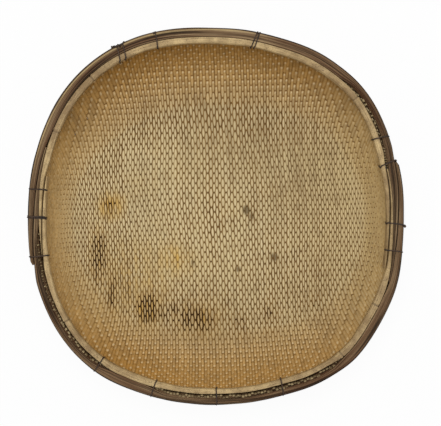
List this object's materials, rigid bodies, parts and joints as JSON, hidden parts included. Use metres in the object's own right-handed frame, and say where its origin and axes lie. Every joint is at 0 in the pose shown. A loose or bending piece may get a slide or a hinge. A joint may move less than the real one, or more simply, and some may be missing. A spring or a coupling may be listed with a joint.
{
  "type": "harvest basket",
  "caption": "Shallow round-cornered harvest basket: a woven bamboo mat bowl whose edge is clamped between a pale inner and a dark outer bent hoop, bound with iron wire ties.",
  "frame": {"origin": "on the surface that the basket stands on, under the middle of its bounding box", "axes": "+Z up out of the open mouth, +X to the right and +Y up in the pictured top view, with the hoop laps at +X and -X"},
  "size_m": [0.6072, 0.6062, 0.1101],
  "materials": {
    "bamboo_strip": "split bamboo strip, aged tan, satin",
    "pale_bamboo": "bent split bamboo, pale and worn",
    "dark_bamboo": "bent split bamboo, weathered dark brown",
    "iron_wire": "dark oxidised iron wire"
  },
  "bodies": {
    "root": {"woven_mat": "bamboo_strip", "outer_hoop_top_half": "dark_bamboo", "outer_hoop_bottom_half": "dark_bamboo", "inner_hoop_top_half": "pale_bamboo", "inner_hoop_bottom_half": "pale_bamboo", "wire_tie_right_above_lap": "iron_wire", "wire_tie_right_lap_end": "iron_wire", "wire_tie_right_lap_middle": "iron_wire", "wire_tie_right_lap_lower": "iron_wire", "wire_tie_top_right": "iron_wire", "wire_tie_top_left": "iron_wire", "wire_knot_upper_left": "iron_wire", "wire_tie_left_lap_upper": "iron_wire", "wire_tie_left_lap_middle": "iron_wire", "wire_tie_left_lap_end": "iron_wire", "wire_tie_bottom_far_left": "iron_wire", "wire_tie_bottom_left": "iron_wire", "wire_tie_bottom_middle": "iron_wire", "wire_tie_bottom_right": "iron_wire"}
  },
  "joints": []
}
